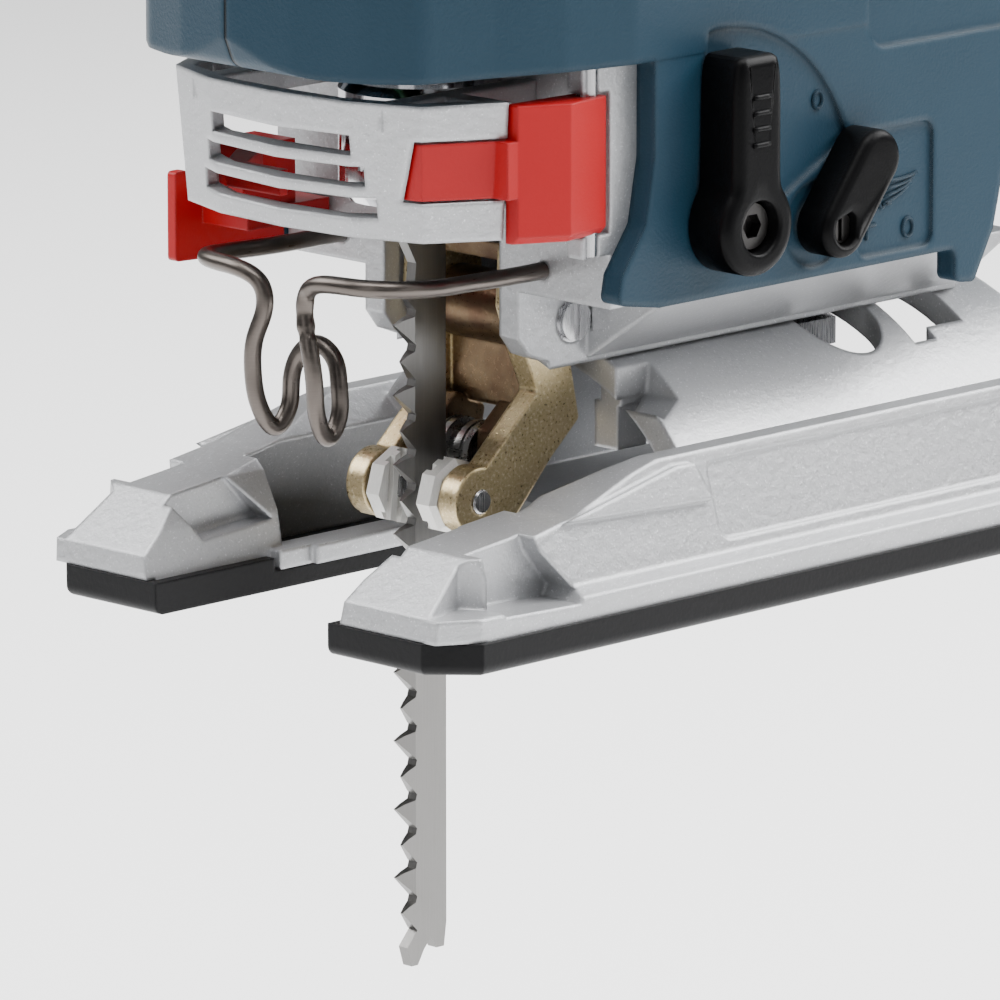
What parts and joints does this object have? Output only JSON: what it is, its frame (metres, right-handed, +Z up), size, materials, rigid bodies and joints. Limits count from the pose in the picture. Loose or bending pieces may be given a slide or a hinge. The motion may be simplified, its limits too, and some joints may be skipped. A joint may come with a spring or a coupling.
{
  "type": "jigsaw power tool",
  "caption": "Top-handle jigsaw with tilting cast base, slide-on shoe, moving blade, roller guide, release lever, trigger and inner drive train.",
  "frame": {"origin": "on the sole plane, on the plunger's axis in the middle of the blade", "axes": "+X to the rear of the tool, +Y to the operator's right, +Z up along the plunger"},
  "size_m": [0.2445, 0.0692, 0.2359],
  "materials": {
    "blue_plastic": "satin, fine texture",
    "black_plastic": "matte",
    "grip_rubber": "soft touch",
    "red_plastic": "satin",
    "cast_silver": "satin silver paint, brushed where machined",
    "gold_steel": "yellow chromate",
    "bright_steel": "ground",
    "dark_steel": "black oxide",
    "wire_steel": "oiled spring wire",
    "blade_steel": "brushed",
    "chrome_steel": "polished",
    "bronze": "sintered",
    "copper": "enamelled wire",
    "laminated_iron": "stacked sheets",
    "carbon": "dull",
    "brass": "drawn",
    "clear_lens": "clear",
    "circuit_board": "coated"
  },
  "bodies": {
    "tool": {"housing_left": "blue_plastic", "housing_right": "blue_plastic", "handle_grip": "grip_rubber", "housing_screws": "dark_steel", "gear_case": "cast_silver", "fork_pivot_pin": "bright_steel", "plunger_bushes": "bronze", "gear_arbor": "bright_steel", "front_cover": "cast_silver", "release_pin": "bright_steel", "release_band": "red_plastic", "guard_wire": "wire_steel", "trigger_pin": "bright_steel", "switch_module": "black_plastic", "speed_wheel_pin": "bright_steel", "cord_gland": "grip_rubber", "led_lens": "clear_lens", "led_board": "circuit_board", "speed_electronics": "circuit_board", "dust_port": "black_plastic", "motor_field": "laminated_iron", "field_coils": "copper", "front_bearing": "chrome_steel", "rear_bearing": "chrome_steel", "brush_holders": "brass", "carbon_brushes": "carbon", "tilt_clamp_plate": "bright_steel", "tilt_clamp_bolt": "dark_steel"},
    "plunger": {"plunger": "bright_steel", "blade_clamp": "chrome_steel", "saw_blade": "blade_steel"},
    "drive_gear": {"drive_gear": "bright_steel", "crank_pin": "chrome_steel"},
    "armature": {"armature_shaft": "bright_steel", "armature_core": "laminated_iron", "armature_windings": "copper", "commutator": "copper", "cooling_fan": "black_plastic"},
    "fork": {"guide_fork": "gold_steel", "roller_pin": "bright_steel"},
    "roller": {"guide_roller": "dark_steel"},
    "jaw_left": {"guide_jaw_left": "bright_steel", "jaw_pin_left": "bright_steel"},
    "jaw_right": {"guide_jaw_right": "bright_steel", "jaw_pin_right": "bright_steel"},
    "release_lever": {"release_lever": "red_plastic"},
    "orbital_lever": {"orbital_lever": "black_plastic", "orbital_screw": "dark_steel"},
    "blower_switch": {"blower_switch": "black_plastic", "blower_screw": "dark_steel"},
    "trigger": {"trigger": "black_plastic"},
    "lock_button": {"lock_button": "black_plastic"},
    "speed_wheel": {"speed_wheel": "black_plastic"},
    "base": {"base_casting": "cast_silver", "base_shoe": "black_plastic", "shoe_screws": "bright_steel", "bevel_lever_pin": "bright_steel"},
    "bevel_lever": {"bevel_lever": "black_plastic"}
  },
  "joints": [
    {"name": "plunger_stroke", "type": "slide", "parent": "tool", "child": "plunger", "axis": [0, 0, 1], "range_m": [-0.004, 0.016]},
    {"name": "drive_gear_spin", "type": "hinge", "parent": "tool", "child": "drive_gear", "pos_m": [0.017, 0, 0.114], "axis": [1, 0, 0], "continuous": true},
    {"name": "armature_spin", "type": "hinge", "parent": "tool", "child": "armature", "pos_m": [0.09, 0, 0.0896], "axis": [1, 0, 0], "continuous": true},
    {"name": "orbital_swing", "type": "hinge", "parent": "tool", "child": "fork", "pos_m": [0.0117, 0, 0.0318], "axis": [0, 1, 0], "range_deg": [-4, 0]},
    {"name": "guide_roller_spin", "type": "hinge", "parent": "fork", "child": "roller", "pos_m": [0.0075, 0, 0.0158], "axis": [0, 1, 0], "continuous": true},
    {"name": "jaw_left_close", "type": "slide", "parent": "fork", "child": "jaw_left", "axis": [0, 1, 0], "range_m": [0, 0.0016]},
    {"name": "jaw_right_close", "type": "slide", "parent": "fork", "child": "jaw_right", "axis": [0, -1, 0], "range_m": [0, 0.0016]},
    {"name": "release_lever_swing", "type": "hinge", "parent": "tool", "child": "release_lever", "pos_m": [0.0002, -0.0255, 0.053], "axis": [0, 0, 1], "range_deg": [0, 40]},
    {"name": "orbital_lever_turn", "type": "hinge", "parent": "tool", "child": "orbital_lever", "pos_m": [0.018, -0.032, 0.0446], "axis": [0, 1, 0], "range_deg": [0, 60]},
    {"name": "blower_switch_turn", "type": "hinge", "parent": "tool", "child": "blower_switch", "pos_m": [0.0335, -0.032, 0.0422], "axis": [0, 1, 0], "range_deg": [0, 50]},
    {"name": "trigger_pull", "type": "hinge", "parent": "tool", "child": "trigger", "pos_m": [0.072, 0, 0.166], "axis": [0, -1, 0], "range_deg": [0, 6], "stiffness_Nm_per_rad": 0.6},
    {"name": "lock_button_push", "type": "slide", "parent": "tool", "child": "lock_button", "axis": [0, 1, 0], "range_m": [0, 0.003], "stiffness_N_per_m": 600},
    {"name": "speed_wheel_turn", "type": "hinge", "parent": "tool", "child": "speed_wheel", "pos_m": [0.032, 0, 0.1705], "axis": [0, 1, 0], "range_deg": [-150, 150]},
    {"name": "base_tilt", "type": "hinge", "parent": "tool", "child": "base", "pos_m": [0.03, 0, 0], "axis": [1, 0, 0], "range_deg": [-15, 15]},
    {"name": "bevel_lever_swing", "type": "hinge", "parent": "base", "child": "bevel_lever", "pos_m": [0.09, 0, 0.006], "axis": [0, 0, 1], "range_deg": [-25, 25]}
  ],
  "couplings": [
    {"joint": "armature_spin", "follows": "drive_gear_spin", "ratio": -5.7778}
  ]
}
